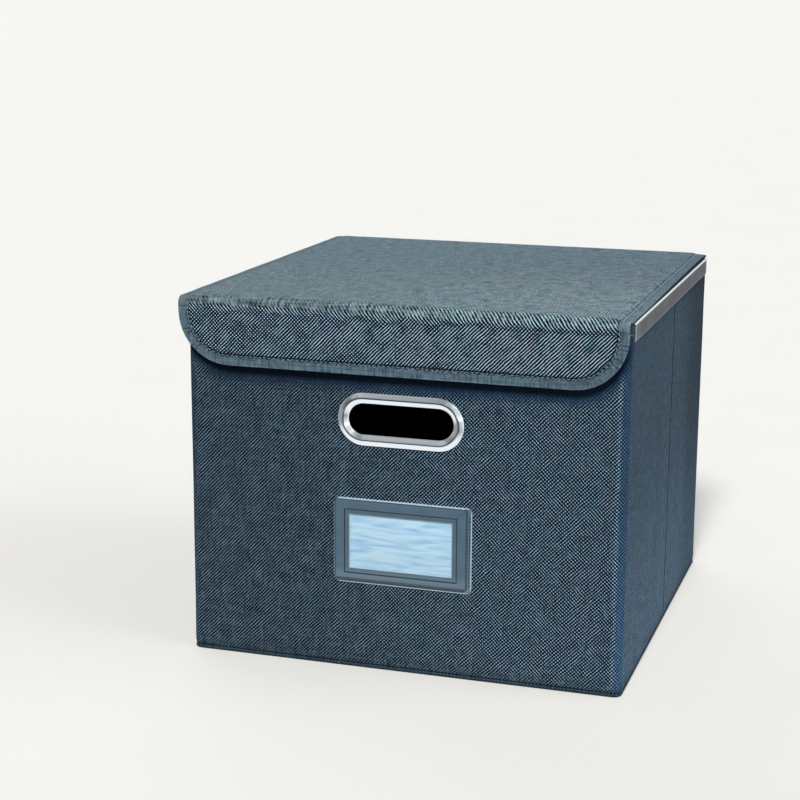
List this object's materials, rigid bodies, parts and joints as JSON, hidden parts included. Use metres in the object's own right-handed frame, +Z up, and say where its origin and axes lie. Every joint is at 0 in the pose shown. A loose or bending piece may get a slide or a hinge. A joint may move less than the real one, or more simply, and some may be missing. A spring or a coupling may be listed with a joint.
{
  "type": "file box",
  "caption": "Linen-covered file box with a cloth-hinged lid, a front flap, steel rails for hanging folders, oval metal hand grips and a label window.",
  "frame": {"origin": "centre of the body's underside, on the surface that the box stands on", "axes": "+X to the right seen from the front, +Y from the front wall to the back wall, +Z up"},
  "size_m": [0.3247, 0.3393, 0.2661],
  "materials": {
    "linen": "slate blue woven linen-look cloth",
    "linen_tape": "the same cloth cut as tape, piping and base panel",
    "lining": "dark non-woven lining",
    "board": "grey-brown pressed board, hidden inside the cloth",
    "rail_steel": "satin plated sheet steel",
    "grip_chrome": "bright chrome plate",
    "clip_steel": "plain plated steel",
    "label_trim": "smooth grey-blue coated trim",
    "clear_film": "clear soft film",
    "card_paper": "blank pale blue card"
  },
  "bodies": {
    "box": {"front_board": "board", "back_board": "board", "left_front_board": "board", "left_rear_board": "board", "right_front_board": "board", "right_rear_board": "board", "wall_cover": "linen", "wall_lining": "lining", "rim_binding": "linen_tape", "base_panel": "linen_tape", "base_lining": "lining", "base_piping": "linen_tape", "left_rail": "rail_steel", "right_rail": "rail_steel", "front_grip": "grip_chrome", "front_grip_clip": "clip_steel", "back_grip": "grip_chrome", "back_grip_clip": "clip_steel", "label_backing": "label_trim", "label_frame": "label_trim", "label_window": "clear_film", "lid_hinge_cloth": "linen_tape"},
    "lid": {"lid_board": "board", "lid_cover": "linen", "lid_lining": "lining", "fold_cloth": "linen"},
    "flap": {"flap_board": "board", "flap_cover": "linen", "flap_lining": "lining"},
    "card": {"label_card": "card_paper"},
    "insert": {"insert_board": "board", "insert_top_cloth": "lining", "insert_bottom_cloth": "lining"}
  },
  "joints": [
    {"name": "lid_hinge", "type": "hinge", "parent": "box", "child": "lid", "pos_m": [-0.002, 0.166, 0.2632], "axis": [-1, 0, 0], "range_deg": [0, 220]},
    {"name": "flap_hinge", "type": "hinge", "parent": "lid", "child": "flap", "pos_m": [-0.002, -0.16893, 0.26293], "axis": [-1, 0, 0], "range_deg": [0, 90], "deforming": ["fold_cloth"]},
    {"name": "card_slide", "type": "slide", "parent": "box", "child": "card", "axis": [1, 0, 0], "range_m": [0, 0.096]},
    {"name": "insert_lift", "type": "slide", "parent": "box", "child": "insert", "axis": [0, 0, 1], "range_m": [0, 0.25]}
  ]
}
